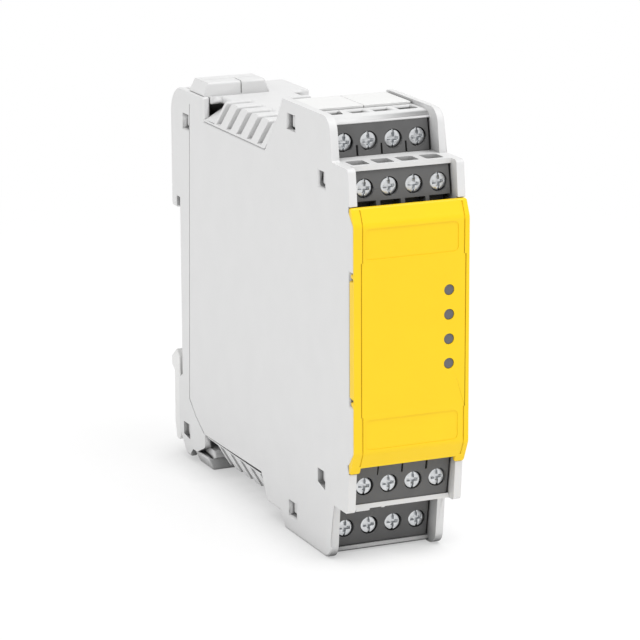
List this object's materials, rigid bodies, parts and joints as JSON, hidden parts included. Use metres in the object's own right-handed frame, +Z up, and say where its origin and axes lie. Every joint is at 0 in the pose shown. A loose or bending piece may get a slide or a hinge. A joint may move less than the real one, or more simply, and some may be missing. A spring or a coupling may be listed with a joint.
{
  "type": "safety relay",
  "caption": "Slim rail-mounted safety relay with a grey moulded housing, yellow front cover with indicator windows, stepped screw terminals, louvred vents and a sprung rail latch.",
  "frame": {"origin": "centre of the bounding box's footprint, on the surface the module stands on", "axes": "+Z up, the yellow cover faces -Y, +X to the right seen from the front"},
  "size_m": [0.0226, 0.091, 0.0818],
  "materials": {
    "grey_housing": "light grey moulded polyamide",
    "yellow_cover": "signal yellow moulded polycarbonate",
    "lamp_window": "smoky clear acrylic light guide",
    "dark_terminal": "dark grey moulded polyamide",
    "zinc_screw": "zinc-plated steel",
    "zinc_clamp": "zinc-plated steel",
    "tinned_bar": "tinned copper",
    "grey_plate": "light grey moulded polyamide",
    "grey_latch": "light grey moulded acetal",
    "spring_wire": "spring steel strip",
    "board": "glass-epoxy board with green mask",
    "relay_case": "relay case, thermoplastic",
    "converter_case": "potted converter case",
    "chip": "moulded chip body",
    "capacitor_can": "aluminium can",
    "link_body": "moulded header"
  },
  "bodies": {
    "module": {"board_link": "link_body", "capacitor_large": "capacitor_can", "capacitor_small": "capacitor_can", "clamps_bottom_front": "zinc_clamp", "clamps_bottom_rear": "zinc_clamp", "clamps_top_front": "zinc_clamp", "clamps_top_rear": "zinc_clamp", "converter": "converter_case", "front_cover": "yellow_cover", "housing_shell": "grey_housing", "lamp_board": "board", "latch_spring": "spring_wire", "light_guide": "lamp_window", "logic_chip_a": "chip", "logic_chip_b": "chip", "main_board": "board", "safety_relay_a": "relay_case", "safety_relay_b": "relay_case", "screws_bottom_front": "zinc_screw", "screws_bottom_rear": "zinc_screw", "screws_top_front": "zinc_screw", "screws_top_rear": "zinc_screw", "side_cover": "grey_housing", "tails_bottom_front": "tinned_bar", "tails_bottom_rear": "tinned_bar", "tails_top_front": "tinned_bar", "tails_top_rear": "tinned_bar", "terminal_block_bottom_front": "dark_terminal", "terminal_block_bottom_rear": "dark_terminal", "terminal_block_top_front": "dark_terminal", "terminal_block_top_rear": "dark_terminal", "top_plate_left": "grey_plate", "top_plate_right": "grey_plate"},
    "latch": {"rail_latch": "grey_latch"}
  },
  "joints": [
    {"name": "latch_slide", "type": "slide", "parent": "module", "child": "latch", "axis": [0, 0, -1], "range_m": [0, 0.003], "stiffness_N_per_m": 1500, "springref_m": -0.002, "deforming": ["latch_spring"]}
  ]
}
